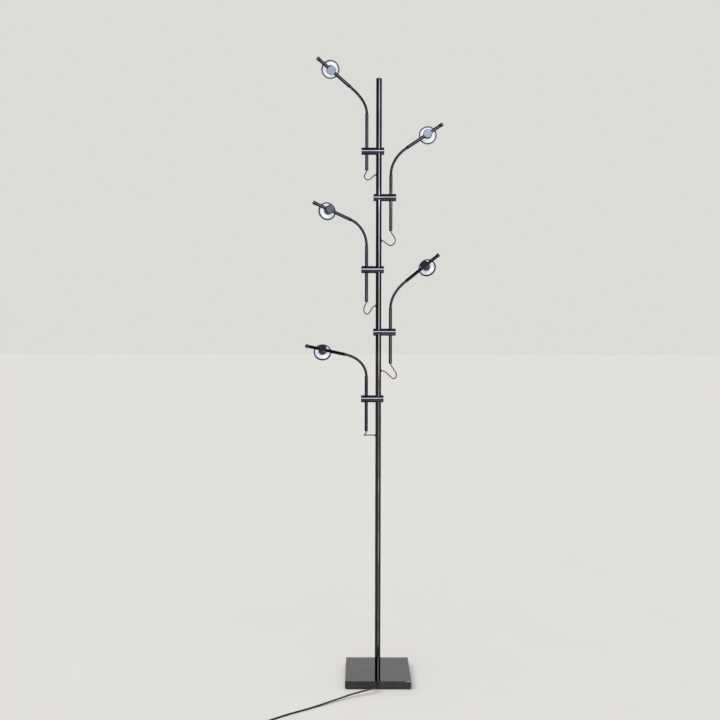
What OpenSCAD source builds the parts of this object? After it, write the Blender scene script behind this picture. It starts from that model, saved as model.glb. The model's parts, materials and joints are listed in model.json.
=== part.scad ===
// Floor lamp with five projector heads on flexible arms, clamped to one pole.
// Millimetres, +Z up. The origin is on the floor, under the pole's axis.
// The lamp shines towards +Y. Odd arms stand on the -X side, even arms on +X.

/* [Base] */
// Side of the square base plate
base_side = 200; // [160:1:260]
// Thickness of the base plate
base_thick = 20; // [16:0.5:30]
// Thickness of the recessed pad under the plate
pad_thick = 5; // [3:0.5:6]
// How far the pad stands back from the plate's edge
pad_inset = 3; // [2:1:20]

/* [Pole] */
// Outer diameter of the pole
pole_d = 17.2; // [15:0.1:18.5]
// Wall of the pole
pole_wall = 2; // [1.5:0.1:2.5]
// Height of the pole's closed top above the floor
pole_top = 1851; // [1760:1:2000]
// Height of the highest lead hole
lead_hole_top = 1559; // [1555:1:1563]
// Distance between lead holes
lead_hole_pitch = 200; // [198:1:202]

/* [Clamps] */
// Diameter of a clamp bar
clamp_d = 22; // [21:0.5:26]
// Distance between the pole's axis and an arm's axis
clamp_pitch = 37; // [36:0.5:42]
// How far a clamp bar reaches past each axis
clamp_over = 16.2; // [15:0.1:20]
// Height of clamp 1
clamp_z_1 = 1631; // [1605:1:1655]
// Height of clamp 2
clamp_z_2 = 1490; // [1465:1:1515]
// Height of clamp 3
clamp_z_3 = 1270; // [1245:1:1295]
// Height of clamp 4
clamp_z_4 = 1078; // [1055:1:1100]
// Height of clamp 5
clamp_z_5 = 872; // [850:1:895]

/* [Arms] */
// Diameter of an arm tube
arm_d = 10; // [9:0.1:11]
// Wall of an arm tube
arm_wall = 1; // [0.8:0.1:1.2]
// Length of an arm tube
arm_len = 167; // [160:1:180]
// Length of a gooseneck between its collars
neck_len = 99; // [90:1:110]
// Crest diameter of a gooseneck
neck_d = 8.4; // [7.8:0.1:9.2]
// Ribs on a gooseneck
neck_ribs = 30; // [20:1:34]
// Way from a gooseneck's end to the barrel's axis
rod_len = 75; // [68:1:88]
// Diameter of a head rod
rod_d = 10; // [9.4:0.1:10.6]
// Way from the barrel's axis to the end of the handle
handle_len = 54.5; // [48:0.5:65]

/* [Arm settings] */
// Height of the foot of arm 1
foot_z_1 = 1574; // [1570:1:1578]
// Height of the foot of arm 2
foot_z_2 = 1390; // [1386:1:1394]
// Height of the foot of arm 3
foot_z_3 = 1172; // [1168:1:1176]
// Height of the foot of arm 4
foot_z_4 = 982; // [978:1:986]
// Height of the foot of arm 5
foot_z_5 = 773; // [769:1:777]
// Turn of arm 1 in its clamp, from straight out towards -Y
turn_1 = 23; // [-30:1:40]
// Turn of arm 2
turn_2 = 4; // [-30:1:40]
// Turn of arm 3
turn_3 = 18; // [-30:1:40]
// Turn of arm 4
turn_4 = 10; // [-30:1:40]
// Turn of arm 5
turn_5 = -6; // [-30:1:40]
// Bend of gooseneck 1 from upright
bend_1 = 55; // [35:0.5:85]
// Bend of gooseneck 2
bend_2 = 57; // [35:0.5:85]
// Bend of gooseneck 3
bend_3 = 68; // [35:0.5:85]
// Bend of gooseneck 4
bend_4 = 51.5; // [35:0.5:85]
// Bend of gooseneck 5
bend_5 = 78; // [35:0.5:85]
// Share of bend 1 that lies towards the neck's foot: 0 bends it evenly
ease_1 = 0.95; // [-0.5:0.05:1]
// Share of bend 2 that lies towards the neck's foot: 0 bends it evenly
ease_2 = 0.4; // [-0.5:0.05:1]
// Share of bend 3 that lies towards the neck's foot: 0 bends it evenly
ease_3 = -0.3; // [-0.5:0.05:1]
// Share of bend 4 that lies towards the neck's foot: 0 bends it evenly
ease_4 = 0.65; // [-0.5:0.05:1]
// Share of bend 5 that lies towards the neck's foot: 0 bends it evenly
ease_5 = 0.55; // [-0.5:0.05:1]
// Twist of head 1 about its rod
twist_1 = -25; // [-60:1:60]
// Twist of head 2
twist_2 = 0; // [-60:1:60]
// Twist of head 3
twist_3 = 8; // [-60:1:60]
// Twist of head 4
twist_4 = -20; // [-60:1:60]
// Twist of head 5
twist_5 = 30; // [-60:1:60]

/* [Heads] */
// Diameter of a head barrel
barrel_d = 26.5; // [24:0.5:28]
// Diameter of a lens ring
ring_d = 55; // [50:0.5:62]
// Way from the rod's axis to the middle of the lens ring
ring_off = 19.5; // [18:0.5:24]

/* [Mains cord] */
// Diameter of the mains cord
cord_d = 5; // [4.5:0.1:5.2]
// Height of the cord's hole in the base plate
cord_hole_z = 15; // [14:0.5:15]
// Mean radius of the cord's coil
coil_r = 30; // [28:0.5:34]

/* [Hidden] */
$fn = 64;
arm_count = 5;
fit = 0.05;
slack = 0.1;
clear = 0.3;

base_top = pad_thick + base_thick;
pole_r = pole_d / 2;
pole_bore = pole_d - 2 * pole_wall;
cap_thick = 2;
stud_bore = 7;
stud_d = 10;
nut_recess_d = 26;
nut_recess_top = pad_thick + 13;
base_edge = 1.2;

clamp_zs = [clamp_z_1, clamp_z_2, clamp_z_3, clamp_z_4, clamp_z_5];
foot_zs = [foot_z_1, foot_z_2, foot_z_3, foot_z_4, foot_z_5];
turns = [turn_1, turn_2, turn_3, turn_4, turn_5];
bends = [bend_1, bend_2, bend_3, bend_4, bend_5];
twists = [twist_1, twist_2, twist_3, twist_4, twist_5];
eases = [ease_1, ease_2, ease_3, ease_4, ease_5];
function side(i) = i % 2 == 1 ? -1 : 1;
function clamp_z(i) = clamp_zs[i - 1];
function foot_z(i) = foot_zs[i - 1];
function bend(i) = bends[i - 1];
function hole_z(i) = lead_hole_top - (i - 1) * lead_hole_pitch;
function yaw(i) = side(i) < 0 ? 180 + turns[i - 1] : -turns[i - 1];

// A neck's line in its arm's plane: how far it leans at a share u of its length, and its points.
// The curvature falls evenly along the neck, by more where the ease is larger.
neck_steps = 2 * neck_ribs;
function lean(i, u) = bend(i) * (u - eases[i - 1] * u * u / 2) / (1 - eases[i - 1] / 2);
function neck_line(i) = [
    for (k = 0, x = 0, z = neck_start; k <= neck_steps;
         x = x + neck_len / neck_steps * sin(lean(i, (k + 0.5) / neck_steps)),
         z = z + neck_len / neck_steps * cos(lean(i, (k + 0.5) / neck_steps)),
         k = k + 1)
    [x, 0, z]];

// Sizes of the turned pieces on an arm
collar = 2.5;
spigot_len = 9;
pin_d = 6;
pin_len = 9;
neck_start = arm_len + collar;
neck_root_d = neck_d - 1.2;
neck_bore = 3.4;
wire_bore = 4;
lead_d = 3.2;
lead_hole_d = lead_d + 0.8;
plug_flange = 1.5;
screw_d = 4.9;

// Stations of a head along its light's axis, from the rod's axis
barrel_back = -10;
barrel_front = 12;
led_seat = 6;
led_top = 8;
lens_tail = 8.3;
lens_waist = 12.2;
ring_thick = 5;
ring_back = ring_off - ring_thick / 2;
lens_rim_r = ring_d / 2 - 3;
lens_rim_back = ring_back + 1.2;
lens_rim_front = ring_back + 4.4;
lens_rise = 7;
tail_r = 9.8;

// Routes of the leads from an arm's foot to its hole in the pole.
// x runs out from the pole, the zero is the foot's centre.
lead_routes = [
    [[2, 0, -8], [7, 0, -17], [4, 0, -27], [-5, 0, -30], [-14, 0, -25], [-21, 0, -18]],
    [[3, 0, -9], [12, 0, -22], [13, 0, -36], [2, 0, -46], [-11, 0, -42], [-20, 0, -34]],
    [[3, 0, -9], [8, 0, -21], [6.5, 0, -32], [0.5, 0, -38], [-7, 0, -36.5], [-13, 0, -28], [-20, 0, -17]],
    [[4, 0, -9], [13.5, 0, -23], [19, 0, -35], [16.5, 0, -44], [8, 0, -47], [-1, 0, -40], [-10.5, 0, -30.5],
     [-20, 0, -24.5]],
    [[1.5, -2, -8], [5.5, -8.5, -11], [6, -17, -11.5], [-0.5, -23.5, -11], [-8.5, -22.5, -10.5], [-14, -15, -11.2],
     [-18.5, -7, -12.6], [-23, -1.8, -13.7]]];

// Route of the mains cord from the gland in the base's front face to the coil
base_front = -base_side / 2;
cord_floor_z = cord_d / 2 + 0.1;
cord_route = [
    [0, base_front + 40, cord_hole_z],
    [0, base_front + 4, cord_hole_z],
    [0, base_front - 5, cord_hole_z],
    [-1.8, base_front - 14.6, cord_hole_z],
    [-7, base_front - 22.8, cord_hole_z],
    [-15, base_front - 28.6, cord_hole_z - 0.2],
    [-30, base_front - 35, cord_hole_z - 1.4],
    [-45, base_front - 41, cord_hole_z - 2.6],
    [-85, base_front - 61.5, 9.2],
    [-140, base_front - 98.5, 5.2],
    [-200, base_front - 141, cord_floor_z],
    [-250, base_front - 175, cord_floor_z],
    [-292, base_front - 208, cord_floor_z],
    [-325, base_front - 240, 4]];

// The coil: a bundle of turns that lie on a circle of bundle_r about the coil's mean circle
coil_turns = 6 + 1 / 3;
coil_strands = 7;
coil_rings = 24;
bundle_r = 6.6;
coil_start = 150;
coil_x = -330;
coil_y = base_front - 310;
tie_wall = 0.6;
tie_w = 6;
tie_r = bundle_r + cord_d / 2 + 0.35;
coil_z = tie_r + tie_wall + slack;
function coil_point(a) =
    let (b = a / coil_strands, r = coil_r + bundle_r * cos(b))
    [coil_x + r * cos(coil_start + a), coil_y + r * sin(coil_start + a), coil_z + bundle_r * sin(b)];
coil_steps = round(coil_turns * coil_rings);
coil_line = [for (k = [0:coil_steps]) coil_point(k * 360 / coil_rings)];
coil_in = coil_line[0];
coil_out = coil_line[coil_steps];
coil_gap = min([for (k = [0:coil_steps], m = [k + coil_rings / 2:coil_steps])
    norm(coil_line[k] - coil_line[m])]) - cord_d;
echo(coil_least_gap = coil_gap);

// Pieces on the cord's tail, laid out along +X
switch_len = 62;
switch_w = 30;
switch_h = 18;
switch_x = coil_out[0] + 100;
tail_y = coil_out[1] - 2;
button_d = 13;
button_bore_d = 13.2;
button_rest = 3;
button_seat = 6;
relief_len = 22;
relief_root_d = cord_d + 5;
relief_tip_d = cord_d + 2;
supply_x = switch_x + switch_len + 2 * relief_len + 55;
supply_len = 62;
supply_w = 42;
supply_h = 32;
tail_z = 6;
tail_route = [
    coil_out + [3, 0.05, 0],
    coil_out + [14, 0, -0.8],
    [coil_out[0] + 35, tail_y + 0.6, cord_floor_z],
    [coil_out[0] + 54, tail_y, 4.2],
    [switch_x - relief_len - 8, tail_y, tail_z],
    [switch_x - relief_len - 2, tail_y, tail_z],
    [switch_x + 3, tail_y, tail_z]];
switch_end = switch_x + switch_len;
link_route = [
    [switch_end - 3, tail_y, tail_z],
    [switch_end + relief_len + 2, tail_y, tail_z],
    [switch_end + relief_len + 8, tail_y, tail_z],
    [switch_end + relief_len + 18, tail_y, 4.8],
    [switch_end + relief_len + 27.5, tail_y, 4.2],
    [supply_x - relief_len - 18, tail_y, 4.8],
    [supply_x - relief_len - 8, tail_y, tail_z],
    [supply_x - relief_len - 2, tail_y, tail_z],
    [supply_x + 3, tail_y, tail_z]];

function arm_names(stem) = [for (i = [1:arm_count]) str(stem, "_", i)];

// A smooth line through points, with steps places on each stretch
function spline_at(a, b, c, d, t) =
    0.5 * (2 * b + (c - a) * t + (2 * a - 5 * b + 4 * c - d) * t * t + (3 * b - a - 3 * c + d) * t * t * t);
function spline(p, steps) =
    let (n = len(p) - 1)
    concat([for (k = [0:n - 1], s = [0:steps - 1])
        spline_at(p[max(k - 1, 0)], p[k], p[k + 1], p[min(k + 2, n)], s / steps)], [p[n]]);

// Frames along a line, each turned from the last by no more than the line turns
function unit(v) = v / norm(v);
function along(p, k) = unit(p[min(k + 1, len(p) - 1)] - p[max(k - 1, 0)]);
function level(v, t) = unit(v - t * (v * t));
function sides(p, k, v) =
    let (n = level(v, along(p, k)))
    k == len(p) - 1 ? [n] : concat([n], sides(p, k + 1, n));
function ring(c, t, n, r, count) =
    let (b = cross(t, n))
    [for (a = [0:count - 1]) c + r * (cos(a * 360 / count) * n + sin(a * 360 / count) * b)];

// A solid round cord along a line, with count sides
module cord(p, d, count, first) {
    n = sides(p, 0, first);
    last = len(p) - 1;
    rings = [for (k = [0:last]) each ring(p[k], along(p, k), n[k], d / 2, count)];
    walls = [for (k = [0:last - 1], a = [0:count - 1])
        let (e = (a + 1) % count)
        [k * count + a, k * count + e, (k + 1) * count + e, (k + 1) * count + a]];
    caps = [[for (a = [count - 1:-1:0]) a], [for (a = [0:count - 1]) last * count + a]];
    polyhedron(rings, [for (f = concat(walls, caps)) [for (j = [len(f) - 1:-1:0]) f[j]]]);
}

// The frame of an arm: the zero is its foot, x runs out from the pole, z up the tube
module at_arm(i) {
    translate([side(i) * clamp_pitch, 0, foot_z(i)])
        rotate([0, 0, yaw(i)])
            children();
}

// The frame of a head's rod: the zero is the gooseneck's upper end, z runs along the rod
module at_rod(i) {
    at_arm(i)
        translate(neck_line(i)[neck_steps])
            rotate([0, bend(i), 0])
                children();
}

// The frame of a head: the zero is on the rod's axis, x is the light's axis, z runs along the rod
module at_head(i) {
    at_rod(i)
        translate([0, 0, rod_len])
            rotate([0, 0, side(i) * 90 + twists[i - 1]])
                children();
}

// A shape turned about x: each point is a radius and a place along x
module turned(points) {
    rotate([0, 90, 0])
        rotate([0, 0, 90])
            rotate_extrude()
                polygon(points);
}

// A flat box with round upright edges, on its underside's centre
module round_box(l, w, h, r) {
    linear_extrude(h) {
        square([l - 2 * r, w], center = true);
        square([l, w - 2 * r], center = true);
        for (x = [-1, 1], y = [-1, 1])
            translate([x * (l / 2 - r), y * (w / 2 - r)])
                circle(r);
    }
}

// A square block with its eight upper and upright edges broken by c
module broken_block(s, h, c) {
    e = s / 2;
    outline = [[-e + c, -e], [e - c, -e], [e, -e + c], [e, e - c],
               [e - c, e], [-e + c, e], [-e, e - c], [-e, -e + c]];
    profile = [[-e, 0], [e, 0], [e, h - c], [e - c, h], [-e + c, h], [-e, h - c]];
    intersection() {
        linear_extrude(h)
            polygon(outline);
        rotate([90, 0, 0])
            translate([0, 0, -e])
                linear_extrude(s)
                    polygon(profile);
        rotate([90, 0, 90])
            translate([0, 0, -e])
                linear_extrude(s)
                    polygon(profile);
    }
}

// Mirror-polished plate with the stud's hole, the nut's recess and the cord's way
module base_plate() {
    color("silver")
        difference() {
            translate([0, 0, pad_thick])
                broken_block(base_side, base_thick, base_edge);
            cylinder(d = stud_d + 2 * slack, h = base_top + 1);
            translate([0, 0, pad_thick - 1])
                cylinder(d = nut_recess_d, h = nut_recess_top - pad_thick + 1);
            translate([0, 0, cord_hole_z])
                rotate([90, 0, 0])
                    cylinder(d = cord_d + 2.4, h = base_side / 2 + 1);
        }
}

module base_pad() {
    s = base_side - 2 * pad_inset;
    color("dimgray")
        translate([-s / 2, -s / 2, 0])
            cube([s, s, pad_thick]);
}

module pole() {
    color("silver")
        difference() {
            translate([0, 0, base_top])
                cylinder(d = pole_d, h = pole_top - cap_thick - base_top);
            translate([0, 0, base_top - 1])
                cylinder(d = pole_bore, h = pole_top);
            for (i = [1:arm_count])
                translate([0, 0, hole_z(i)])
                    rotate([0, side(i) * 90, 0])
                        cylinder(d = lead_hole_d + 2.6, h = pole_d);
        }
}

module pole_cap() {
    color("silver")
        translate([0, 0, pole_top]) {
            translate([0, 0, -cap_thick])
                rotate_extrude()
                    polygon([[0, 0], [pole_r, 0], [pole_r, cap_thick - 0.8], [pole_r - 0.8, cap_thick],
                             [0, cap_thick]]);
            translate([0, 0, -cap_thick - 12])
                cylinder(d = pole_bore - 2 * slack, h = 12.5);
        }
}

// Hollow stud pressed into the pole's foot, with its thread through the plate
module pole_stud() {
    color("gainsboro")
        difference() {
            union() {
                translate([0, 0, base_top + slack])
                    cylinder(d = pole_bore - 2 * slack, h = 30);
                translate([0, 0, nut_recess_top - 5.5])
                    cylinder(d = stud_d, h = base_top - nut_recess_top + 6);
            }
            cylinder(d = stud_bore, h = base_top + 40);
        }
}

module stud_nut() {
    color("goldenrod")
        translate([0, 0, nut_recess_top - 5.2])
            difference() {
                union() {
                    translate([0, 0, 4])
                        cylinder(d = 22, h = 1.1);
                    cylinder(d = 19, h = 4.5, $fn = 6);
                }
                translate([0, 0, -1])
                    cylinder(d = stud_d + 2 * fit, h = 8);
            }
}

module lead_grommets() {
    color("black")
        for (i = [1:arm_count])
            translate([0, 0, hole_z(i)])
                rotate([0, 0, side(i) < 0 ? 180 : 0])
                    turned([[lead_hole_d / 2, pole_r - 2.3], [lead_hole_d / 2 + 1.2, pole_r - 2.3],
                            [lead_hole_d / 2 + 1.2, pole_r + slack], [lead_hole_d / 2 + 2.3, pole_r + slack],
                            [lead_hole_d / 2 + 2.3, pole_r + 1], [lead_hole_d / 2 + 1.9, pole_r + 1.3],
                            [lead_hole_d / 2, pole_r + 1.3]]);
}

// The leads' free loops, from inside each arm's plug to inside each grommet
module arm_leads() {
    color("black")
        for (i = [1:arm_count]) {
            hole = [pole_r - clamp_pitch, 0, hole_z(i) - foot_z(i)];
            route = concat([[0, 0, 6], [0, 0, -2]], lead_routes[i - 1],
                           [hole + [1.6, 0, 0], hole - [5, 0, 0]]);
            world = [for (p = route) [side(i) * (clamp_pitch + p[0]), p[1], foot_z(i) + p[2]]];
            cord(spline(world, 2), lead_d, 8, [0, 1, 0]);
        }
}

module cord_gland() {
    r = cord_d / 2 + slack;
    color("black")
        translate([0, 0, cord_hole_z])
            rotate([0, 0, -90])
                turned([[r, base_side / 2 - 12], [r + 1, base_side / 2 - 12],
                        [r + 1, base_side / 2 + slack], [r + 2, base_side / 2 + slack],
                        [r + 2, base_side / 2 + 1.4], [r + 1.4, base_side / 2 + 2], [r, base_side / 2 + 2]]);
}

module mains_cord() {
    color("black") {
        cord(spline(concat(cord_route, [coil_in]), 3), cord_d, 12, [0, 0, 1]);
        cord(spline(tail_route, 3), cord_d, 12, [0, 0, 1]);
        cord(spline(link_route, 3), cord_d, 12, [0, 0, 1]);
    }
}

module cord_coil() {
    color("black")
        cord(coil_line, cord_d, 6, [0, 0, 1]);
}

// Band round the coil's bundle, on the side away from both ends
module cord_tie() {
    color("dimgray")
        translate([coil_x, coil_y, coil_z])
            rotate([0, 0, 30])
                translate([coil_r, 0, 0])
                    rotate([90, 0, 0])
                        difference() {
                            cylinder(r = tie_r + tie_wall, h = tie_w, center = true);
                            cylinder(r = tie_r, h = tie_w + 2, center = true);
                        }
}

// Tapered strain relief on a housing's end, and the cord's bore through it
module relief() {
    translate([-relief_len, 0, 0])
        rotate([0, 90, 0])
            cylinder(d1 = relief_tip_d, d2 = relief_root_d, h = relief_len + 2);
}

module relief_bore() {
    translate([-relief_len - 1, 0, 0])
        rotate([0, 90, 0])
            cylinder(d = cord_d + 2 * slack, h = relief_len + 6);
}

module switch_body() {
    color("black")
        translate([switch_x + switch_len / 2, tail_y, 0])
            difference() {
                union() {
                    round_box(switch_len, switch_w, switch_h, 8);
                    translate([0, 0, switch_h - 1])
                        cylinder(d = button_d + 8, h = 2);
                    for (end = [0, 180])
                        rotate([0, 0, end])
                            translate([-switch_len / 2, 0, tail_z])
                                relief();
                }
                translate([0, 0, button_seat])
                    cylinder(d = button_bore_d, h = switch_h);
                for (end = [0, 180])
                    rotate([0, 0, end])
                        translate([-switch_len / 2, 0, tail_z])
                            relief_bore();
            }
}

module switch_button() {
    color("dimgray")
        translate([switch_x + switch_len / 2, tail_y, button_seat + button_rest])
            rotate_extrude()
                polygon([[0, 0], [button_d / 2, 0], [button_d / 2, switch_h + 1 - button_seat - 1],
                         [button_d / 2 - 1, switch_h + 1 - button_seat], [0, switch_h + 1 - button_seat]]);
}

// Plug-in supply with its strain relief and two round pins
module power_supply() {
    color("black")
        translate([supply_x + supply_len / 2, tail_y, 0])
            difference() {
                union() {
                    round_box(supply_len, supply_w, supply_h, 6);
                    translate([-supply_len / 2, 0, tail_z])
                        relief();
                }
                translate([-supply_len / 2, 0, tail_z])
                    relief_bore();
            }
    color("silver")
        for (y = [-9.5, 9.5])
            translate([supply_x + supply_len - 1, tail_y + y, supply_h / 2])
                rotate([0, 90, 0])
                    cylinder(d = 4, h = 20);
}

// Round bar with a bore for the pole and one for the arm, and a set screw in each end
module clamp_bar(i) {
    pole_end = -clamp_over;
    arm_end = clamp_pitch + clamp_over;
    r = clamp_d / 2;
    pole_tip = -pole_r - clear;
    arm_tip = clamp_pitch + arm_d / 2 + clear;
    color("silver")
        translate([0, 0, clamp_z(i)])
            rotate([0, 0, side(i) < 0 ? 180 : 0]) {
                difference() {
                    turned([[0, pole_end], [r - 0.8, pole_end], [r, pole_end + 0.8], [r, arm_end - 0.8],
                            [r - 0.8, arm_end], [0, arm_end]]);
                    cylinder(r = pole_r + fit, h = clamp_d + 2, center = true);
                    translate([clamp_pitch, 0, 0])
                        cylinder(d = arm_d + 2 * fit, h = clamp_d + 2, center = true);
                    translate([pole_end - 1, 0, 0])
                        rotate([0, 90, 0])
                            cylinder(d = screw_d + 2 * slack, h = clamp_over + 1);
                    translate([clamp_pitch, 0, 0])
                        rotate([0, 90, 0])
                            cylinder(d = screw_d + 2 * slack, h = clamp_over + 1);
                }
                set_screw(pole_tip, -1);
                set_screw(arm_tip, 1);
            }
}

// Set screw that points away from its tip along x, with a hexagon socket
module set_screw(tip, way) {
    translate([tip, 0, 0])
        rotate([0, way * 90, 0])
            difference() {
                cylinder(d = screw_d, h = 6);
                translate([0, 0, 3])
                    cylinder(d = 2.9, h = 4, $fn = 6);
            }
}

// Plastic plug that the lead enters by: the tube turns round it
module arm_plug(i) {
    color("black")
        at_arm(i)
            difference() {
                union() {
                    translate([0, 0, slack])
                        cylinder(d = arm_d - 2 * arm_wall - 2 * fit, h = 12);
                    translate([0, 0, -plug_flange])
                        cylinder(d = arm_d - 0.4, h = plug_flange - slack);
                    translate([0, 0, -1])
                        cylinder(d = arm_d - 2 * arm_wall - 1, h = 2);
                }
                translate([0, 0, -plug_flange - 1])
                    cylinder(d = lead_hole_d, h = 20);
            }
}

module arm_tube(i) {
    color("silver")
        at_arm(i)
            difference() {
                cylinder(d = arm_d, h = arm_len);
                translate([0, 0, -1])
                    cylinder(d = arm_d - 2 * arm_wall, h = arm_len + 2);
            }
}

// Ribbed flexible neck with a collar at each end: the lower has a spigot in the tube, the upper a pin in the rod
module gooseneck(i) {
    sink = 1;
    count = 8;
    line = neck_line(i);
    tip = line[neck_steps];
    function way(k) = [sin(lean(i, k / neck_steps)), 0, cos(lean(i, k / neck_steps))];
    function neck_ring(k, d) = ring(line[k], way(k), [0, 1, 0], d / 2, count);
    function foot_ring(d) = ring(line[0] - [0, 0, sink], way(0), [0, 1, 0], d / 2, count);
    function tip_ring(d) = ring(tip + sink * way(neck_steps), way(neck_steps), [0, 1, 0], d / 2, count);
    outer = [for (k = [0:neck_steps]) neck_ring(k, k % 2 == 0 ? neck_root_d : neck_d)];
    inner = [for (k = [12:-1:0]) neck_ring(round(k * neck_steps / 12), neck_bore)];
    rings = concat([foot_ring(neck_root_d)], outer, [tip_ring(neck_root_d), tip_ring(neck_bore)], inner,
                   [foot_ring(neck_bore)]);
    total = len(rings);
    color("gray")
        at_arm(i) {
            polyhedron(
                [for (q = rings) each q],
                [for (k = [0:total - 1], a = [0:count - 1])
                    let (m = (k + 1) % total, e = (a + 1) % count)
                    [m * count + a, m * count + e, k * count + e, k * count + a]]);
            difference() {
                union() {
                    translate([0, 0, arm_len + slack])
                        cylinder(d = arm_d, h = collar - slack);
                    translate([0, 0, arm_len - spigot_len])
                        cylinder(d = arm_d - 2 * arm_wall - 2 * slack, h = spigot_len + 1);
                }
                translate([0, 0, arm_len - spigot_len - 1])
                    cylinder(d = wire_bore, h = spigot_len + collar + 2);
            }
        }
    color("gray")
        at_rod(i)
            difference() {
                union() {
                    cylinder(d = rod_d, h = collar);
                    cylinder(d = pin_d, h = collar + pin_len);
                }
                translate([0, 0, -1])
                    cylinder(d = wire_bore, h = collar + pin_len + 2);
            }
}

// Straight rod from the neck, through the barrel, to the handle's end
module head_rod(i) {
    grip = 11;
    groove = 1.5;
    end = rod_len + handle_len;
    tip_d = rod_d + 1.5;
    foot = collar + slack;
    color("silver")
        at_rod(i)
            difference() {
                rotate_extrude()
                    polygon([[0, foot], [rod_d / 2, foot], [rod_d / 2, end - grip - groove],
                             [rod_d / 2 - 0.7, end - grip - groove], [rod_d / 2 - 0.7, end - grip],
                             [tip_d / 2 - 0.5, end - grip], [tip_d / 2, end - grip + 0.5],
                             [tip_d / 2, end - 1], [tip_d / 2 - 1, end], [0, end]]);
                translate([0, 0, foot - 1])
                    cylinder(d = pin_d + 2 * fit, h = pin_len + 1.5);
                cylinder(d = wire_bore, h = rod_len);
                translate([0, 0, rod_len])
                    rotate([0, 0, side(i) * 90 + twists[i - 1]])
                        rotate([0, 90, 0])
                            cylinder(d = wire_bore - 0.5, h = rod_d);
            }
}

// Barrel that carries the lamp: a cross bore for the rod and a seat in front for the lamp
module head_barrel(i) {
    r = barrel_d / 2;
    rib = 1.2;
    deep = 0.8;
    grooves = [for (k = [0:3]) barrel_back + 2.2 + k * 2 * rib];
    color("silver")
        at_head(i)
            difference() {
                turned(concat(
                    [[0, barrel_back], [r - 1.2, barrel_back], [r, barrel_back + 1.2]],
                    [for (x = grooves) each [[r, x], [r - deep, x], [r - deep, x + rib], [r, x + rib]]],
                    [[r, barrel_front - 0.6], [r - 0.6, barrel_front], [0, barrel_front]]));
                cylinder(d = rod_d + 2 * fit, h = barrel_d + 2, center = true);
                translate([led_seat, 0, 0])
                    rotate([0, 90, 0])
                        cylinder(r = tail_r + slack, h = barrel_front);
                rotate([0, 90, 0])
                    cylinder(d = wire_bore, h = barrel_front);
            }
}

// Lamp on its round board
module led_module(i) {
    color("gold")
        at_head(i)
            turned([[0, led_seat + slack], [tail_r, led_seat + slack], [tail_r, led_top], [3, led_top],
                    [3, led_top + 0.8], [2.2, led_top + 2], [0, led_top + 2.6]]);
}

// Cone-backed lens: its tail sits in the barrel, and its front is a shallow dome
module lens(i) {
    dome_r = (lens_rim_r * lens_rim_r + lens_rise * lens_rise) / (2 * lens_rise);
    dome_half = asin(lens_rim_r / dome_r);
    dome = [for (k = [0:9])
        let (a = dome_half * (1 - k / 10))
        [dome_r * sin(a), lens_rim_front + dome_r * cos(a) - dome_r + lens_rise]];
    color("orange")
        at_head(i)
            turned(concat(
                [[0, led_top + 3.4], [3.6, led_top + 3.4], [3.6, lens_tail], [tail_r, lens_tail],
                 [tail_r, lens_waist], [lens_rim_r, lens_rim_back]],
                dome,
                [[0, lens_rim_front + lens_rise]]));
}

module lens_ring(i) {
    r = ring_d / 2;
    seat = lens_rim_r + slack;
    color("black")
        at_head(i)
            turned([[seat, ring_back], [r - 0.6, ring_back], [r, ring_back + 0.6],
                    [r, ring_back + ring_thick - 0.6], [r - 0.6, ring_back + ring_thick],
                    [seat, ring_back + ring_thick]]);
}

base_plate();
base_pad();
pole();
pole_cap();
pole_stud();
stud_nut();
lead_grommets();
arm_leads();
cord_gland();
mains_cord();
cord_coil();
cord_tie();
switch_body();
switch_button();
power_supply();
for (i = [1:arm_count]) {
    clamp_bar(i);
    arm_plug(i);
    arm_tube(i);
    gooseneck(i);
    head_rod(i);
    head_barrel(i);
    led_module(i);
    lens(i);
    lens_ring(i);
}
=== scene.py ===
"""Finishes the floor lamp: polished stand and arms, flexible necks, lit lenses, leads and mains cord."""

import json
import math

import bpy
import numpy as np
from mathutils import Matrix, Vector


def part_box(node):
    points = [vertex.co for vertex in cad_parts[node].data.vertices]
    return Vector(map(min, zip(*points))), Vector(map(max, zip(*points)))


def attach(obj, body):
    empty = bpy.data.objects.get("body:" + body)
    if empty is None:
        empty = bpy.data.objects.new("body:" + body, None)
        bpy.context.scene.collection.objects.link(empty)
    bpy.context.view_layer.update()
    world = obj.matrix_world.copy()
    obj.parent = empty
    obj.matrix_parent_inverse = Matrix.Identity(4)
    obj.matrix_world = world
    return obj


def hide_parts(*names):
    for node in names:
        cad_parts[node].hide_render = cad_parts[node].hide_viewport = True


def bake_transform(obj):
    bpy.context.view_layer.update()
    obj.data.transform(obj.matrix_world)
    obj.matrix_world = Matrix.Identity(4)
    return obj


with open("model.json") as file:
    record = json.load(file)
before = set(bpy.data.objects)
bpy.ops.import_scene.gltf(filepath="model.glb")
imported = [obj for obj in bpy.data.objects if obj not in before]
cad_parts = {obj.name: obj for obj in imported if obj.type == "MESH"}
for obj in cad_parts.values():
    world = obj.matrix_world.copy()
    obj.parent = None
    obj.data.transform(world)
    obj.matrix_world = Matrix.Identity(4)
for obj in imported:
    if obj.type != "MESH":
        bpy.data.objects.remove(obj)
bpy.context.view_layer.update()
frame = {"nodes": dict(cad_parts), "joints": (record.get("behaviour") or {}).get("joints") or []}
nodes = frame["nodes"]
joints = {joint["name"]: joint for joint in frame["joints"]}

MM = 0.001
UP = np.array([0.0, 0.0, 1.0])
ARMS = range(1, 6)
AMBER_HEADS = (1, 2, 3)

# Kinds of node that most finishes use
PLACE = "ShaderNodeTexCoord"
RAMP = "ShaderNodeValToRGB"
RELIEF = "ShaderNodeBump"

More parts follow.
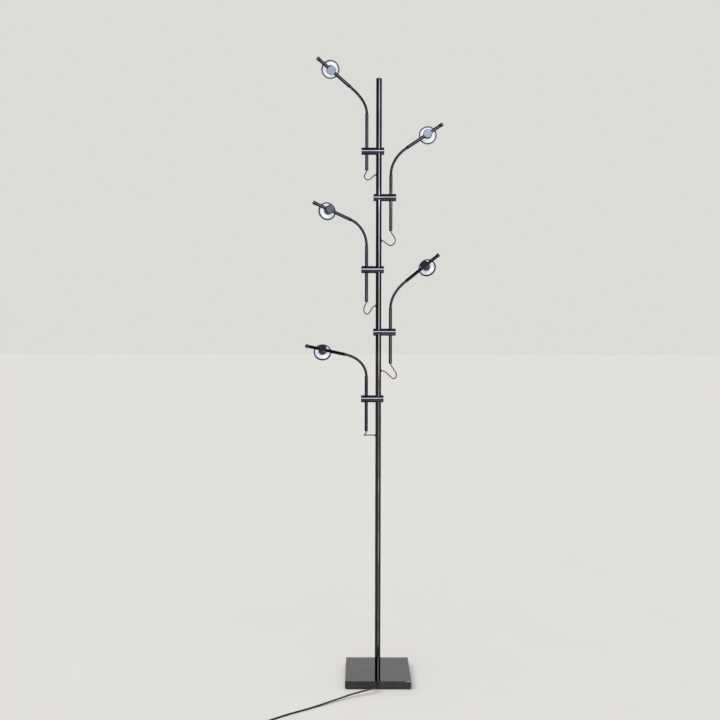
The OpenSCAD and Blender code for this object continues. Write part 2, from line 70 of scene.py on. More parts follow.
# Sizes shared with the solids, in millimetres
SLACK = 0.1  # clearance where two pieces meet
POLE_R = 8.6
CLAMP_PITCH = 37.0  # from the pole's axis to the arm's
LEAD_HOLE_TOP = 1559.0  # height of the highest lead hole
LEAD_HOLE_PITCH = 200.0
LEAD_D = 3.2
ARM_LEN = 167.0
ARM_D = 10.0
COLLAR = 2.5  # length of the collar at each end of a neck
NECK_LEN = 99.0
NECK_D = 8.4
NECK_SPIGOT_R = 3.9  # foot of the neck, in the tube's mouth
NECK_PIN_R = 3.0  # end of the neck, in the rod
ROD_LEN = 75.0  # from the neck to the light's axis
ROD_D = 10.0
ROD_BORE_R = 3.1
HANDLE_LEN = 54.5  # from the light's axis to the grip's end
GRIP_LEN = 11.0
GRIP_D = 11.5
GRIP_GROOVE = 1.5  # width of the groove before the grip
RING_D = 55.0
RING_OFF = 19.5  # from the rod's axis to the ring's middle
RING_THICK = 5.0
RING_LIP = 3.0  # the lens's rim is this far inside the ring's outer edge
RIM_BACK = 1.2  # from the ring's back face to the back of the lens's rim
RIM_FRONT = 4.4  # from the ring's back face to the front of the lens's rim
LENS_TAIL = 8.3  # from the rod's axis to the lens's tail
LENS_WAIST = 12.2  # from the rod's axis to the foot of the lens's cone
LENS_RISE = 7.0  # height of the domed front
LENS_BORE_R = 3.6
TAIL_R = 9.8

# Each arm's own angles at rest, in degrees, and how its neck's curvature falls along it
BENDS = (55, 57, 68, 51.5, 78)
EASES = (0.95, 0.4, -0.3, 0.65, 0.55)
TWISTS = (-25, 0, 8, -20, 30)


def side(i):
    """Odd arms stand on the -X side, even arms on +X."""
    return -1 if i % 2 else 1


def linear(hex_code):
    """An sRGB hex colour as linear red, green, blue and alpha."""
    c = np.array([int(hex_code[k:k + 2], 16) for k in (1, 3, 5)]) / 255
    c = np.where(c <= 0.04045, c / 12.92, ((c + 0.055) / 1.055) ** 2.4)
    return (*c.tolist(), 1.0)


def add(tree, kind, sockets=None, out=0, stops=(), **settings):
    """Adds one node and returns its output named out. sockets maps an input to a value, or to the output that
    feeds it. stops are a colour ramp's places, with hex colours or grey values."""
    made = tree.nodes.new(kind)
    for key, value in settings.items():
        setattr(made, key, value)
    for key, value in (sockets or {}).items():
        if isinstance(value, bpy.types.NodeSocket):
            tree.links.new(value, made.inputs[key])
        else:
            made.inputs[key].default_value = value
    for _ in stops[2:]:
        made.color_ramp.elements.new(0.5)
    for k, (place, tone) in enumerate(stops):
        point = made.color_ramp.elements[k]
        point.position = place
        point.color = linear(tone) if isinstance(tone, str) else (tone, tone, tone, 1.0)
    return made.outputs[out] if made.outputs else None


def blank(name):
    """A new material with an empty tree: the material and the tree."""
    made = bpy.data.materials.new(name)
    made.use_nodes = True
    made.node_tree.nodes.clear()
    return made, made.node_tree


def shade(tree, sockets):
    """Ends a material's tree: one shader with these sockets, joined to the output."""
    shader = add(tree, "ShaderNodeBsdfPrincipled", sockets)
    add(tree, "ShaderNodeOutputMaterial", {"Surface": shader})


def patches(tree, width_mm, stretch=(1, 1, 1), detail=3.0):
    """An uneven pattern of patches width_mm wide, drawn out along an axis by a share below one."""
    place = add(tree, PLACE, out="Object")
    drawn = add(tree, "ShaderNodeMapping", {"Vector": place, "Scale": stretch})
    return add(tree, "ShaderNodeTexNoise", {"Vector": drawn, "Scale": 1 / (width_mm * MM), "Detail": detail})


def steel_finish(name, tones, gloss, stretch, edge="#8c8d92"):
    """Polished plated steel: fine buffing lines along one way, and faint handling marks that dull the gloss.
    Real buffing lines are under a tenth of a millimetre wide: drawn at 0.9 mm so that they show."""
    made, tree = blank(name)
    lines = patches(tree, 0.9, stretch)
    marks = patches(tree, 28.0, (1, 1, 0.5), 2.0)
    dulled = add(tree, "ShaderNodeMath", {0: lines, 1: marks}, operation="MULTIPLY")
    shade(tree, {
        "Metallic": 1.0,
        # Specular Tint: an edge tint below white dims the reflection at grazing angles, which is painted shade
        # on the flanks
        "Specular Tint": linear(edge),
        "Base Color": add(tree, RAMP, {"Fac": marks}, stops=((0.3, tones[0]), (0.7, tones[1]))),
        "Roughness": add(tree, RAMP, {"Fac": dulled}, stops=((0.1, gloss[0]), (0.5, gloss[1]))),
        "Normal": add(tree, RELIEF, {"Height": lines, "Strength": 0.02, "Distance": 0.02 * MM})})
    return made


def satin_neck():
    """Wound steel strip, satin nickel: dull, with its tone darkened as painted shade, most at the bottom of
    the grooves between the turns.
    """
    made, tree = blank("satin_nickel_wound_strip_painted_shade")
    groove_shade = add(tree, "ShaderNodeAttribute", out="Fac", attribute_name="rib")
    # The rib's height sets the tone: painted shade darkens the grooves between the turns
    tones = ((0.0, "#0c0c0e"), (0.45, "#232427"), (1.0, "#303135"))
    shade(tree, {
        "Metallic": 1.0,
        "Roughness": 0.3,
        "Base Color": add(tree, RAMP, {"Fac": groove_shade}, stops=tones),
        "Normal": add(tree, RELIEF,
                      {"Height": patches(tree, 0.6), "Strength": 0.1, "Distance": 0.02 * MM})})
    return made


def turned_aluminium(name, turn):
    """Aluminium turned on a lathe: fine rings about the light's axis, seen as a fan of gloss.
    Real feed lines are a tenth of a millimetre apart: drawn at 0.8 mm so that they show."""
    made, tree = blank(name)
    wave_length = 0.31  # of this pattern at scale one
    place = add(tree, PLACE, out="Object")
    local = add(tree, "ShaderNodeMapping", {"Vector": place, "Rotation": turn})
    feed_lines = {"Vector": local, "Scale": wave_length / (0.8 * MM), "Distortion": 0.4, "Detail": 1.0}
    rings = add(tree, "ShaderNodeTexWave", feed_lines, out="Fac", bands_direction="X")
    shade(tree, {
        "Metallic": 1.0,
        # These tones, far below bare aluminium's, are painted shade of a dark room; the rings between them are
        # the turned finish
        "Base Color": add(tree, RAMP, {"Fac": rings}, stops=((0.0, "#3f424b"), (1.0, "#4e515b"))),
        "Roughness": add(tree, RAMP, {"Fac": patches(tree, 6.0)}, stops=((0.3, 0.22), (0.7, 0.32))),
        "Normal": add(tree, RELIEF, {"Height": rings, "Strength": 0.25, "Distance": 0.03 * MM})})
    return made


def moulded(name, tones, rough, grain_mm, depth_mm):
    """Moulded plastic or rubber with a spark-eroded grain, a little uneven in tone and gloss.
    Real grain is about 0.1 mm wide: drawn coarser so that it shows."""
    made, tree = blank(name)
    grain = patches(tree, grain_mm)
    cloud = patches(tree, 16.0, detail=2.0)
    gloss = ((0.25, rough - 0.06), (0.75, rough + 0.08))
    shade(tree, {
        "Specular IOR Level": 0.3,
        "Base Color": add(tree, RAMP, {"Fac": cloud}, stops=((0.3, tones[0]), (0.7, tones[1]))),
        "Roughness": add(tree, RAMP, {"Fac": grain}, stops=gloss),
        "Normal": add(tree, RELIEF, {"Height": grain, "Strength": 0.35, "Distance": depth_mm * MM})})
    return made


def supply_plastic():
    """Black moulded case, and nickel-plated pins past its end face."""
    made, tree = blank("abs_case_with_nickel_pins")
    pin_len = 20
    end_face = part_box("power_supply")[1].x - pin_len * MM
    place = add(tree, PLACE, out="Object")
    along = add(tree, "ShaderNodeSeparateXYZ", {"Vector": place}, out="X")
    metal = add(tree, "ShaderNodeMath", {0: along, 1: end_face}, operation="GREATER_THAN")
    shade(tree, {
        "Specular IOR Level": 0.2,
        "Metallic": metal,
        "Base Color": add(tree, RAMP, {"Fac": metal}, stops=((0.0, "#151517"), (1.0, "#b9b9bb"))),
        "Roughness": add(tree, RAMP, {"Fac": metal}, stops=((0.0, 0.62), (1.0, 0.22))),
        "Normal": add(tree, RELIEF,
                      {"Height": patches(tree, 0.5), "Strength": 0.3, "Distance": 0.03 * MM})})
    return made


def lit_acrylic(name, stops, rough, glow, coat, ripple_mm, ripple, depth_mm):
    """Acrylic lit from inside: its colour changes in rings from the middle to the rim, and it glows in it."""
    made, tree = blank(name)
    reach = add(tree, "ShaderNodeAttribute", out="Fac", attribute_name="reach")
    colour = add(tree, RAMP, {"Fac": reach}, stops=stops)
    shade(tree, {
        "Roughness": rough,
        "IOR": 1.49,
        "Coat Weight": coat,
        "Base Color": colour,
        "Emission Color": colour,
        "Emission Strength": glow,
        "Normal": add(tree, RELIEF,
                      {"Height": patches(tree, ripple_mm), "Strength": ripple, "Distance": depth_mm * MM})})
    return made


# Metals: dark mirror-like plating on the stand and arms, and a paler mirror on the plate. Their tones are
# darkened part by part as painted shade of a dark room around them. The inner pieces are dull
tube_steel = steel_finish("plated_tube_painted_shade", ("#2f3034", "#393a3e"), (0.04, 0.1), (1, 1, 0.02))
bar_steel = steel_finish("plated_bar_painted_shade", ("#1e1f22", "#26272a"), (0.04, 0.1), (1, 0.3, 0.3))
arm_steel = steel_finish("plated_arm_painted_shade", ("#202125", "#292a2e"), (0.04, 0.1), (1, 1, 0.02))
clamp_steel = steel_finish("plated_clamp_painted_shade", ("#3e3f46", "#484950"), (0.04, 0.08), (0.02, 1, 1))
plate_steel = steel_finish("stainless_steel_mirror_plate", ("#5f6064", "#67686c"), (0.02, 0.05), (0.02, 1, 1),
                           "#ffffff")
# Plate edges: a rougher ground finish, darker than the top as painted shade
plate_edge = steel_finish("stainless_steel_ground_edge_painted_shade", ("#434448", "#49494d"), (0.12, 0.2), (0.02, 0.02, 1))
stud_steel = steel_finish("steel_machined", ("#7c7d80", "#909194"), (0.25, 0.4), (1, 1, 0.3))
nut_brass = steel_finish("brass_machined", ("#a8823f", "#c09a52"), (0.2, 0.35), (1, 1, 0.3))
neck_steel = satin_neck()

# Plastics, rubbers and black metal: deep tones, from the polished grip to the dull pad
black_ring = moulded("black_anodised_aluminium", ("#0e0e10", "#161619"), 0.34, 0.35, 0.01)
grip_plastic = moulded("phenolic_polished_black", ("#08080a", "#0e0e10"), 0.3, 0.5, 0.005)
black_plastic = moulded("abs_moulded_black", ("#131315", "#1b1b1e"), 0.55, 0.5, 0.03)
grey_plastic = moulded("abs_moulded_grey", ("#3c3d40", "#47484b"), 0.42, 0.5, 0.03)
black_rubber = moulded("rubber_moulded_black", ("#0f0f10", "#181819"), 0.68, 0.6, 0.03)
sheath = moulded("pvc_extruded_black", ("#080809", "#0e0e0f"), 0.5, 1.4, 0.02)
tie_plastic = moulded("nylon_moulded_tie", ("#1d1d1f", "#29292b"), 0.4, 0.5, 0.02)
lamp_board = moulded("ceramic_lamp_board", ("#d8d2b8", "#e6e1cb"), 0.4, 0.6, 0.02)
case_plastic = supply_plastic()

# Lenses: a frosted back, bluish towards the barrel and dark at the rim, both painted shade of the barrel and
# the ring, and glossy fronts coated in rings
FROST_AND_SHADE = ((0.0, "#c3cbde"), (0.45, "#dbe1ee"), (0.75, "#eceff7"), (0.91, "#e4e8f2"), (1.0, "#565a66"))
AMBER_COAT = ((0.0, "#f07a2c"), (0.5, "#f59b3a"), (0.78, "#fbc04a"), (0.93, "#ffd860"), (1.0, "#f6e7a0"))
RED_COAT = ((0.0, "#5fae6c"), (0.4, "#c9c265"), (0.68, "#ec8a45"), (0.9, "#e0483a"), (1.0, "#c42f4e"))
frosted = lit_acrylic("acrylic_frosted_lit", FROST_AND_SHADE, 0.35, 0.36, 0.0, 1.2, 0.15, 0.03)
amber = lit_acrylic("amber_coated_acrylic", AMBER_COAT, 0.06, 0.5, 0.6, 2.5, 0.05, 0.02)
red = lit_acrylic("red_coated_acrylic", RED_COAT, 0.06, 0.5, 0.6, 2.5, 0.05, 0.02)


def surface(name, points, mats, mat_index=None, attributes=None):
    """A mesh from a grid of points, closed round its second way, with one face over each end.
    attributes maps a name to one value a grid row, and mat_index gives a material to each row of faces."""
    rows, count, _ = points.shape
    a = np.arange(rows * count).reshape(rows, count)
    b = np.roll(a, -1, axis=1)
    quads = np.stack([a[:-1], b[:-1], b[1:], a[1:]], axis=-1).reshape(-1, 4)
    faces = quads.tolist() + [a[0][::-1].tolist(), a[-1].tolist()]
    mesh = bpy.data.meshes.new(name)
    mesh.from_pydata(points.reshape(-1, 3).tolist(), [], faces)
    mesh.polygons.foreach_set("use_smooth", np.ones(len(faces), bool))
    for mat in mats:
        mesh.materials.append(mat)
    if mat_index is not None:
        of_face = np.full(len(faces), mat_index[-1], np.int32)
        of_face[:len(quads)] = np.repeat(mat_index, count)
        mesh.polygons.foreach_set("material_index", of_face)
    for key, values in (attributes or {}).items():
        layer = mesh.attributes.new(key, "FLOAT", "POINT")
        layer.data.foreach_set("value", np.broadcast_to(values, (rows, count)).astype(np.float32).ravel())
    mesh.update()
    made = bpy.data.objects.new(name, mesh)
    bpy.context.scene.collection.objects.link(made)
    return made


def circle(count):
    """The angles of count points round a circle."""
    return np.arange(count) * 2 * math.pi / count


def frames(path, first, way):
    """Along a path: two directions square to it, each row turned from the last no more than the path turns."""
    if way is None:
        way = np.gradient(path, axis=0)
        way /= np.linalg.norm(way, axis=1)[:, None]
    across = np.zeros_like(path)
    n = np.asarray(first, float)
    for k, t in enumerate(way):
        n = n - t * (n @ t)
        n /= np.linalg.norm(n)
        across[k] = n
    return across, np.cross(way, across)


def swept(path, radius, first, count, way=None):
    """Grid of points of a round tube: radius may differ for each row and column."""
    n, b = frames(path, first, way)
    a = circle(count)
    ring = np.cos(a)[None, :, None] * n[:, None] + np.sin(a)[None, :, None] * b[:, None]
    return path[:, None] + np.broadcast_to(radius, (len(path), count))[..., None] * ring


def smooth_line(points, steps):
    """A Catmull-Rom line through points, with steps places on each stretch."""
    p = np.asarray(points, float)
    n = len(p) - 1
    k = np.repeat(np.arange(n), steps)
    t = np.tile(np.arange(steps) / steps, n)[:, None]
    a, b, c, d = p[np.maximum(k - 1, 0)], p[k], p[k + 1], p[np.minimum(k + 2, n)]
    line = 0.5 * (2 * b + (c - a) * t + (2 * a - 5 * b + 4 * c - d) * t**2 + (3 * b - a - 3 * c + d) * t**3)
    return np.vstack([line, p[n]])


def evenly(line, step):
    """The same line with its points step apart."""
    run = np.concatenate([[0], np.cumsum(np.linalg.norm(np.diff(line, axis=0), axis=1))])
    at = np.linspace(0, run[-1], max(4, int(run[-1] / step)) + 1)
    return np.stack([np.interp(at, run, line[:, k]) for k in range(3)], axis=1)


class Arm:
    """Places on one arm, in millimetres, from its joints: foot, arc, rod and light's axis."""

    def __init__(self, i):
        turn, neck, twist = (joints[f"{stem}_{i}"] for stem in ("arm_turn", "neck_bend", "head_twist"))
        self.foot = np.array(turn["pos_m"]) / MM
        self.across = np.array(neck["axis"])
        self.out = np.cross(self.across, UP)
        self.rod = np.array(twist["axis"])
        self.head = np.array(twist["pos_m"]) / MM
        self.bend = math.radians(BENDS[i - 1])
        self.ease = EASES[i - 1]
        angle = math.radians(side(i) * 90 + TWISTS[i - 1])
        flat = np.cross(self.across, self.rod)
        self.light = math.cos(angle) * flat + math.sin(angle) * self.across
        self.neck_foot = self.foot + UP * (ARM_LEN + COLLAR)
        self.neck_end = self.head - self.rod * ROD_LEN

    def lean(self, share):
        """How far the neck leans at shares of its length: its curvature falls evenly along it."""
        return self.bend * (share - self.ease * share**2 / 2) / (1 - self.ease / 2)

    def line(self, count):
        """Points on the neck, and the way it runs there, from its foot to its end in count steps."""
        middle = self.lean((np.arange(count) + 0.5) / count)
        step = NECK_LEN / count * (np.sin(middle)[:, None] * self.out + np.cos(middle)[:, None] * UP)
        lean = self.lean(np.linspace(0, 1, count + 1))[:, None]
        points = self.neck_foot + np.vstack([np.zeros(3), np.cumsum(step, axis=0)])
        return points, np.sin(lean) * self.out + np.cos(lean) * UP


def straight(start, way, places):
    """Points at places along a straight way."""
    return start + np.asarray(places)[:, None] * way


def make_neck(i, arm):
    """Wound flexible neck: its radius rises and falls once a turn of the strip, along a helix, as the root of
    a cosine wave, and at each end it meets a turned collar as wide as the tube there."""
    turns, per_turn, count = 30, 12, 28
    groove, bevel, sunk = 0.6, 0.25, 0.3
    neck_r, collar_r = NECK_D / 2, ARM_D / 2
    collar = np.array([0.0, 0.0, bevel, COLLAR - bevel, COLLAR, COLLAR])
    low = collar + SLACK * np.array([1, 1, 1, 0, 0, 0])
    wide = [collar_r - bevel, collar_r, collar_r, collar_r - bevel]
    low_r = np.array([NECK_SPIGOT_R, *wide, neck_r - sunk])
    top_r = np.array([neck_r - sunk, *wide, NECK_PIN_R])
    points, ways = arm.line(turns * per_turn)
    share = np.linspace(0, 1, turns * per_turn + 1)
    path = np.vstack([straight(arm.neck_foot - UP * COLLAR, UP, low), points,
                      straight(arm.neck_end, arm.rod, collar)])
    way = np.vstack([np.tile(UP, (len(low), 1)), ways, np.tile(arm.rod, (len(collar), 1))])
    rib = np.sqrt(0.5 + 0.5 * np.cos(2 * math.pi * turns * share[:, None] + circle(count)[None]))
    radius = np.vstack([np.repeat(low_r[:, None], count, 1), neck_r - groove * (1 - rib),
                        np.repeat(top_r[:, None], count, 1)])
    ribs = np.vstack([np.ones((len(low), count)), rib, np.ones((len(collar), count))])
    of_row = np.zeros(len(path) - 1, np.int32)
    of_row[:len(low) - 1] = 1
    of_row[-len(collar) + 1:] = 1
    made = surface(f"flexible_neck_{i}", swept(path, radius, arm.across, count, way) * MM,
                   [neck_steel, bar_steel], of_row, {"rib": ribs})
    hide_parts(f"gooseneck_{i}")
    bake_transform(made)


def turned_piece(name, start, way, first, profile, mats, mat_index=None, attributes=None, count=48):
    """A lathe-turned piece: profile rows are a place along the axis and a radius."""
    profile = np.asarray(profile, float)
    n = np.asarray(first, float)
    b = np.cross(way, n)
    a = circle(count)
    ring = np.cos(a)[:, None] * n + np.sin(a)[:, None] * b
    points = start + profile[:, 0, None, None] * way + profile[:, 1, None, None] * ring[None]
    return surface(name, points * MM, mats, mat_index, attributes)


def make_rod(i, arm):
    """Rod, handle and grip in one turned piece: after a groove, the last stretch is the black grip, whose end
    is rounded in three steps."""
    rod_r, grip_r = ROD_D / 2, GRIP_D / 2
    bevel, groove_deep = 0.3, 0.7
    start, end = COLLAR + SLACK, ROD_LEN + HANDLE_LEN
    grip = end - GRIP_LEN
    groove = grip - GRIP_GROOVE
    steel = [(start, ROD_BORE_R), (start, rod_r - bevel), (start + bevel, rod_r), (start + 3, rod_r),
             (ROD_LEN, rod_r), (groove - 0.7, rod_r), (groove - 0.1, rod_r - 0.1),
             (groove, rod_r - groove_deep), (grip, rod_r - groove_deep)]
    black = [(grip, grip_r - groove_deep), (grip + 0.2, grip_r - bevel), (grip + 0.6, grip_r),
             (end - 1.4, grip_r), (end - 0.6, grip_r - bevel), (end - 0.15, grip_r - 0.9), (end, grip_r - 1.6)]
    rows = steel + black
    of_row = np.zeros(len(rows) - 1, np.int32)
    of_row[len(steel) - 1:] = 1
    made = turned_piece(f"head_rod_turned_{i}", arm.neck_end, arm.rod, arm.across, rows,
                        [bar_steel, grip_plastic], of_row)
    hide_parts(f"head_rod_{i}")
    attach(made, f"head_{i}")


def make_lens(i, arm):
    """Cone-backed lens: a straight tail in the barrel, a flaring frosted cone, a rim, and a domed coated
    front, which is the cap of a ball of radius (rim squared + rise squared) / (2 rise)."""
    cone_rows, dome_rows, count = 14, 20, 64
    bevel, dome_tip = 0.4, 0.015
    rim = RING_D / 2 - RING_LIP
    ring_back = RING_OFF - RING_THICK / 2
    back, front = ring_back + RIM_BACK, ring_back + RIM_FRONT
    flare = np.linspace(0, 1, cone_rows)
    cone = np.stack([LENS_WAIST + (back - LENS_WAIST) * flare, TAIL_R + (rim - TAIL_R) * flare], axis=1)
    ball = (rim**2 + LENS_RISE**2) / (2 * LENS_RISE)
    a = math.asin(rim / ball) * np.linspace(1, dome_tip, dome_rows)
    dome = np.stack([front + ball * np.cos(a) - ball + LENS_RISE, ball * np.sin(a)], axis=1)
    tail = [(LENS_TAIL, LENS_BORE_R), (LENS_TAIL, TAIL_R - bevel), (LENS_TAIL + bevel, TAIL_R)]
    profile = np.vstack([tail, cone, dome])
    of_row = np.zeros(len(profile) - 1, np.int32)
    of_row[-len(dome):] = 1
    coat = amber if i in AMBER_HEADS else red
    made = turned_piece(f"lens_lit_{i}", arm.head, arm.light, arm.rod, profile, [frosted, coat], of_row,
                        {"reach": profile[:, 1, None] / rim}, count)
    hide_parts(f"lens_{i}")
    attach(made, f"head_{i}")


# Leads: the loop from each arm's foot to its hole in the pole, x out from the pole, zero at the foot
LEAD_ROUTES = (
    ((2, 0, -8), (7, 0, -17), (4, 0, -27), (-5, 0, -30), (-14, 0, -25), (-21, 0, -18)),
    ((3, 0, -9), (12, 0, -22), (13, 0, -36), (2, 0, -46), (-11, 0, -42), (-20, 0, -34)),
    ((3, 0, -9), (8, 0, -21), (6.5, 0, -32), (0.5, 0, -38), (-7, 0, -36.5), (-13, 0, -28), (-20, 0, -17)),
    ((4, 0, -9), (13.5, 0, -23), (19, 0, -35), (16.5, 0, -44), (8, 0, -47), (-1, 0, -40), (-10.5, 0, -30.5),
     (-20, 0, -24.5)),
    ((1.5, -2, -8), (5.5, -8.5, -11), (6, -17, -11.5), (-0.5, -23.5, -11), (-8.5, -22.5, -10.5),
     (-14, -15, -11.2), (-18.5, -7, -12.6), (-23, -1.8, -13.7)))
LEAD_IN_PLUG = ((0, 0, 6), (0, 0, -2))
LEAD_STEP = 1.5  # distance between a lead's points
GROMMET_POINTS = 8  # points of the pole's end that the grommet holds
PLUG_POINTS = 7  # points of the arm's end that the plug holds


def make_lead(i, arm):
    """One lead as two tubes that meet at the loop's middle: the pole's half and the arm's half."""
    hole = np.array([POLE_R - CLAMP_PITCH, 0, LEAD_HOLE_TOP - (i - 1) * LEAD_HOLE_PITCH - arm.foot[2]])
    route = np.vstack([LEAD_IN_PLUG, LEAD_ROUTES[i - 1], [hole + (1.6, 0, 0), hole - (5, 0, 0)]])
    world = np.stack([side(i) * (CLAMP_PITCH + route[:, 0]), route[:, 1], arm.foot[2] + route[:, 2]], axis=1)
    line = evenly(smooth_line(world, 8), LEAD_STEP)
    middle = len(line) // 2
    halves = (("pole", line[middle:][::-1], "stand", f"clamp_{i}", GROMMET_POINTS, -1),
              ("arm", line[:middle + 1][::-1], f"clamp_{i}", f"plug_{i}", 0, -1 - PLUG_POINTS))
    for word, path, still, moved, leaves, joins in halves:
        made = surface(f"lead_{i}_{word}_half", swept(path, LEAD_D / 2, (0, 1, 0), 12) * MM, [sheath])
        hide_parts("arm_leads")
        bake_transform(made)


# Mains cord: out of the base's front face, over the floor to the coil, then to the switch and the supply
CORD_D = 5.0
BASE_FRONT = -100.0
CORD_HOLE_Z = 15.0
CORD_FLOOR_Z = CORD_D / 2 + 0.1
CORD_ROUTE = (
    (0, BASE_FRONT + 20, CORD_HOLE_Z), (0, BASE_FRONT + 4, CORD_HOLE_Z), (0, BASE_FRONT - 5, CORD_HOLE_Z),
    (-1.8, BASE_FRONT - 14.6, CORD_HOLE_Z), (-7, BASE_FRONT - 22.8, CORD_HOLE_Z),
    (-15, BASE_FRONT - 28.6, CORD_HOLE_Z - 0.2), (-30, BASE_FRONT - 35, CORD_HOLE_Z - 1.4),
    (-45, BASE_FRONT - 41, CORD_HOLE_Z - 2.6), (-85, BASE_FRONT - 61.5, 9.2), (-140, BASE_FRONT - 98.5, 5.2),
    (-200, BASE_FRONT - 141, CORD_FLOOR_Z), (-250, BASE_FRONT - 175, CORD_FLOOR_Z),
    (-292, BASE_FRONT - 208, CORD_FLOOR_Z), (-325, BASE_FRONT - 240, 4))
CORD_STEPS = 6  # places on each stretch of the cord's route
COIL_TURNS = 6 + 1 / 3
COIL_STRANDS = 7  # turns in which the cord goes once round the bundle
COIL_START = 150.0  # where the coil begins, in degrees
COIL_R = 30.0
BUNDLE_R = 6.6
TIE_GAP = 0.35
TIE_WALL = 0.6
COIL_X = -330.0
COIL_Y = BASE_FRONT - 310
COIL_Z = BUNDLE_R + CORD_D / 2 + TIE_GAP + TIE_WALL + SLACK
SWITCH_OFF = 100.0  # from the coil's end to the switch
SWITCH_LEN = 62.0
RELIEF_LEN = 22.0  # strain relief on the switch and the supply
LINK_LEN = 55.0  # cord between the switch's relief and the supply's
TAIL_Z = 6.0  # height of the cord at the switch and the supply
GRIPPED = 3.0  # cord held in the end of the switch or the supply
BUTTON_DIP = 3.0  # how far the cord dips under the button


def coil_line():
    """Turns about the coil's middle whose section moves once round the bundle's circle in seven turns."""
    a = np.radians(np.linspace(0, COIL_TURNS * 360, int(COIL_TURNS * 36) + 1))
    r = COIL_R + BUNDLE_R * np.cos(a / COIL_STRANDS)
    t = a + math.radians(COIL_START)
    return np.stack([COIL_X + r * np.cos(t), COIL_Y + r * np.sin(t),
                     COIL_Z + BUNDLE_R * np.sin(a / COIL_STRANDS)], axis=1)


def cord_line():
    """The whole cord: its route to the coil, the coil, and the stretches to, through and past the switch.
    Inside the switch it runs in one low wave, dip (1 - cos 2 pi t) / 2 deep, clear of the pressed button."""
    coil = coil_line()
    out = coil[-1]
    tail_y = out[1] - 2
    switch_x = out[0] + SWITCH_OFF
    switch_end = switch_x + SWITCH_LEN
    meets, leaves = switch_x - RELIEF_LEN, switch_end + RELIEF_LEN
    enters = leaves + LINK_LEN
    supply_x = enters + RELIEF_LEN
    lead_in = smooth_line(np.vstack([CORD_ROUTE, coil[:1]]), CORD_STEPS)
    tail = smooth_line([out + (3, 0.05, 0), out + (14, 0, -0.8), (out[0] + 35, tail_y + 0.6, CORD_FLOOR_Z),
                        (out[0] + 54, tail_y, 4.2), (meets - 8, tail_y, TAIL_Z), (meets - 2, tail_y, TAIL_Z),
                        (switch_x + GRIPPED, tail_y, TAIL_Z)], CORD_STEPS)
    t = np.linspace(0, 1, 17)[1:-1]
    under = np.stack([switch_x + GRIPPED + t * (SWITCH_LEN - 2 * GRIPPED), np.full_like(t, tail_y),
                      TAIL_Z - BUTTON_DIP * (1 - np.cos(2 * np.pi * t)) / 2], axis=1)
    link = smooth_line([(switch_end - GRIPPED, tail_y, TAIL_Z), (leaves + 2, tail_y, TAIL_Z),
                        (leaves + 8, tail_y, TAIL_Z), (leaves + 18, tail_y, 4.8),
                        (leaves + 27.5, tail_y, 4.2), (enters - 18, tail_y, 4.8), (enters - 8, tail_y, TAIL_Z),
                        (enters - 2, tail_y, TAIL_Z), (supply_x + GRIPPED, tail_y, TAIL_Z)], CORD_STEPS)
    return np.vstack([lead_in[:-1], coil, tail, under, link])


def make_cord():
    """One round curve along the cord's line."""
    line = cord_line()
    data = bpy.data.curves.new("mains_cord_sheath", "CURVE")
    data.dimensions = "3D"
    data.bevel_depth = CORD_D / 2 * MM
    data.bevel_resolution = 4
    data.use_fill_caps = True
    spline = data.splines.new("POLY")
    spline.points.add(len(line) - 1)
    spline.points.foreach_set("co", np.hstack([line * MM, np.ones((len(line), 1))]).ravel())
    spline.use_smooth = True
    data.materials.append(sheath)
    made = bpy.data.objects.new("mains_cord_sheath", data)
    bpy.context.scene.collection.objects.link(made)
    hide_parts("mains_cord", "cord_coil")
    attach(made, "stand")


def dress(stem, mat):
    """Gives a finish to every node of that name, with or without an arm's number."""
    for name, made in nodes.items():
        if name == stem or name.rstrip("12345").rstrip("_") == stem:
            made.data.materials.clear()
            made.data.materials.append(mat)


def dress_plate_edges():
    """The plate's upright faces, whose normals lie level, get the rougher ground finish, whose darker tone is
    painted shade, as though they faced a dark floor.
    """
    plate = nodes["base_plate"].data
    plate.materials.append(plate_edge)
    normals = np.empty(3 * len(plate.polygons))
    plate.polygons.foreach_get("normal", normals)
    plate.polygons.foreach_set("material_index", (np.abs(normals[2::3]) < 0.5).astype(np.int32))


def dress_barrel(i, arm):
    """The barrel's lathe rings are turned square to its own light's axis."""
    square = np.stack([arm.light, np.cross(arm.rod, arm.light), arm.rod], axis=0)
    turn = tuple(Matrix(square.tolist()).to_euler("XYZ"))
    dress(f"head_barrel_{i}", turned_aluminium(f"turned_aluminium_{i}", turn))


# Finish of each node that keeps its solid's shape
FINISHES = {
    "base_plate": plate_steel, "base_pad": black_rubber, "pole": tube_steel, "pole_cap": bar_steel,
    "pole_stud": stud_steel, "stud_nut": nut_brass, "lead_grommets": black_rubber, "cord_gland": black_rubber,
    "cord_tie": tie_plastic, "switch_body": black_plastic, "switch_button": grey_plastic,
    "power_supply": case_plastic, "clamp_bar": clamp_steel, "arm_plug": black_plastic, "arm_tube": arm_steel,
    "led_module": lamp_board, "lens_ring": black_ring}

# Soft boxes: name, place, the point that it faces, width and height in metres, and power in watts
SOFT_BOXES = (
    ("window", (1.21, -2.85, 1.35), (0.2, 0, 1.2), (1.88, 1.2), 103),
    ("high_window", (0.84, -2.85, 2.26), (0.25, 0, 1.9), (2.02, 0.82), 74),
    ("side_window", (0.06, -2.85, 1.725), (0, 0, 1.5), (0.42, 0.25), 5.5),
    ("low_window", (1.2, -2.85, 0.38), (0.25, 0, 0.5), (1.8, 0.74), 20),
    ("near_window", (0.5, -1.2, 0.21), (0.1, 0, 0.4), (0.76, 0.38), 5),
    ("foot_window", (0.1, -0.25, 0.2), (0, 0, 0.2), (0.155, 0.39), 0.65))
FLOOR_SIDE = 60
SUN_POWER = 2.0
SUN_ANGLE = 70
SUN_TURN = (18, -14, 0)

# The photograph's camera, in pixels, metres and degrees
PHOTO_PX = 720
FOCAL_PX = 905.9
SENSOR_MM = 36
CAMERA_PLACE = (-0.0568, -2.7935, 1.1026)
CAMERA_DOWN = 2.268
CAMERA_ROLL = -0.106


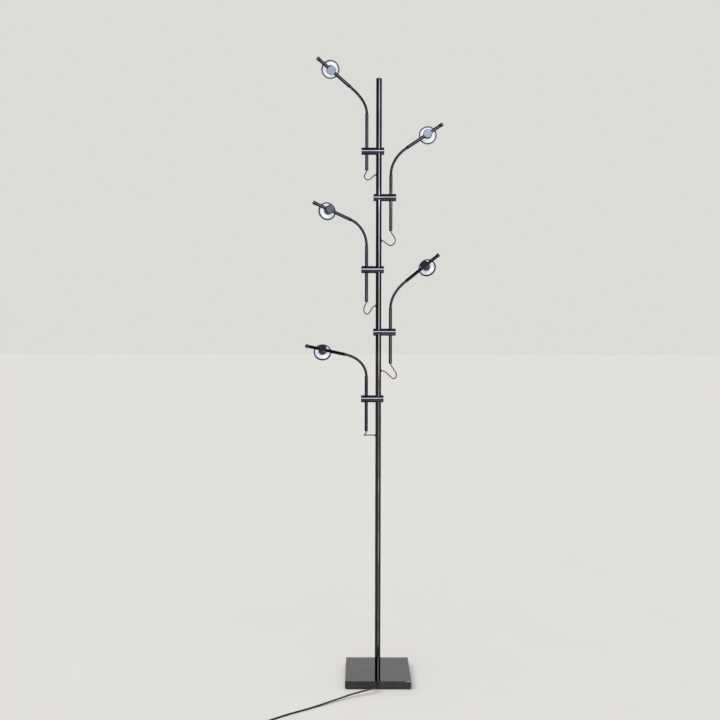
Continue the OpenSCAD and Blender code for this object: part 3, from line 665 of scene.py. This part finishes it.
def make_floor():
    """Pale matt floor, a little uneven in tone, which shows no reflection."""
    bpy.ops.mesh.primitive_plane_add(size=FLOOR_SIDE)
    floor = bpy.context.active_object
    floor.name = "floor"
    pale, tree = blank("pale_floor")
    tones = ((0.3, "#e7e5e2"), (0.7, "#e9e7e4"))
    shade(tree, {
        "Roughness": 0.9,
        "Specular IOR Level": 0.0,
        "Base Color": add(tree, RAMP, {"Fac": patches(tree, 400.0)}, stops=tones)})
    floor.data.materials.append(pale)


def make_room():
    """A pale backdrop past the lamp, and a dimmer room on the other sides, which gives polished metal its
    dark flanks."""
    world = bpy.data.worlds.new("studio")
    bpy.context.scene.world = world
    world.use_nodes = True
    tree = world.node_tree
    tree.nodes.clear()
    way = add(tree, PLACE, out="Generated")
    past = add(tree, "ShaderNodeSeparateXYZ", {"Vector": way}, out="Y")
    tones = ((0.0, "#949496"), (0.5, "#a2a2a3"), (0.86, "#dcdbd9"))
    tone = add(tree, RAMP, {"Fac": past}, stops=tones)
    back = add(tree, "ShaderNodeBackground", {"Color": tone, "Strength": 1.0})
    add(tree, "ShaderNodeOutputWorld", {"Surface": back})


def make_soft_box(name, place, target, size, power):
    """A rectangular light at place that faces target. It shows only in gloss, as light lines on the metal."""
    data = bpy.data.lights.new(name, "AREA")
    data.shape = "RECTANGLE"
    data.size, data.size_y = size
    data.energy = power
    made = bpy.data.objects.new(name, data)
    bpy.context.scene.collection.objects.link(made)
    made.location = place
    made.rotation_euler = (Vector(target) - Vector(place)).to_track_quat("-Z", "Y").to_euler()
    made.visible_camera = False
    made.visible_diffuse = False


def make_sun():
    """An even soft light from above for the floor and all matt surfaces, which doesn't show in the metal."""
    data = bpy.data.lights.new("ceiling", "SUN")
    data.energy = SUN_POWER
    data.angle = math.radians(SUN_ANGLE)
    made = bpy.data.objects.new("ceiling", data)
    bpy.context.scene.collection.objects.link(made)
    made.rotation_euler = [math.radians(a) for a in SUN_TURN]
    made.visible_glossy = False


def make_camera():
    """The view of the photograph: from behind the lamp, a little above the middle of its height."""
    data = bpy.data.cameras.new("camera")
    data.sensor_width = SENSOR_MM
    data.lens = FOCAL_PX / PHOTO_PX * SENSOR_MM
    made = bpy.data.objects.new("camera", data)
    bpy.context.scene.collection.objects.link(made)
    made.location = CAMERA_PLACE
    made.rotation_euler = (math.radians(90 - CAMERA_DOWN), math.radians(CAMERA_ROLL), 0)
    bpy.context.scene.camera = made


arms = {i: Arm(i) for i in ARMS}
for number, place in arms.items():
    make_neck(number, place)
    make_rod(number, place)
    make_lens(number, place)
for number, place in arms.items():
    make_lead(number, place)
make_cord()

for stem, finish in FINISHES.items():
    dress(stem, finish)
dress_plate_edges()
for number, place in arms.items():
    dress_barrel(number, place)

make_floor()
make_room()
for box in SOFT_BOXES:
    make_soft_box(*box)
make_sun()
make_camera()
bpy.context.scene.view_settings.view_transform = "Standard"
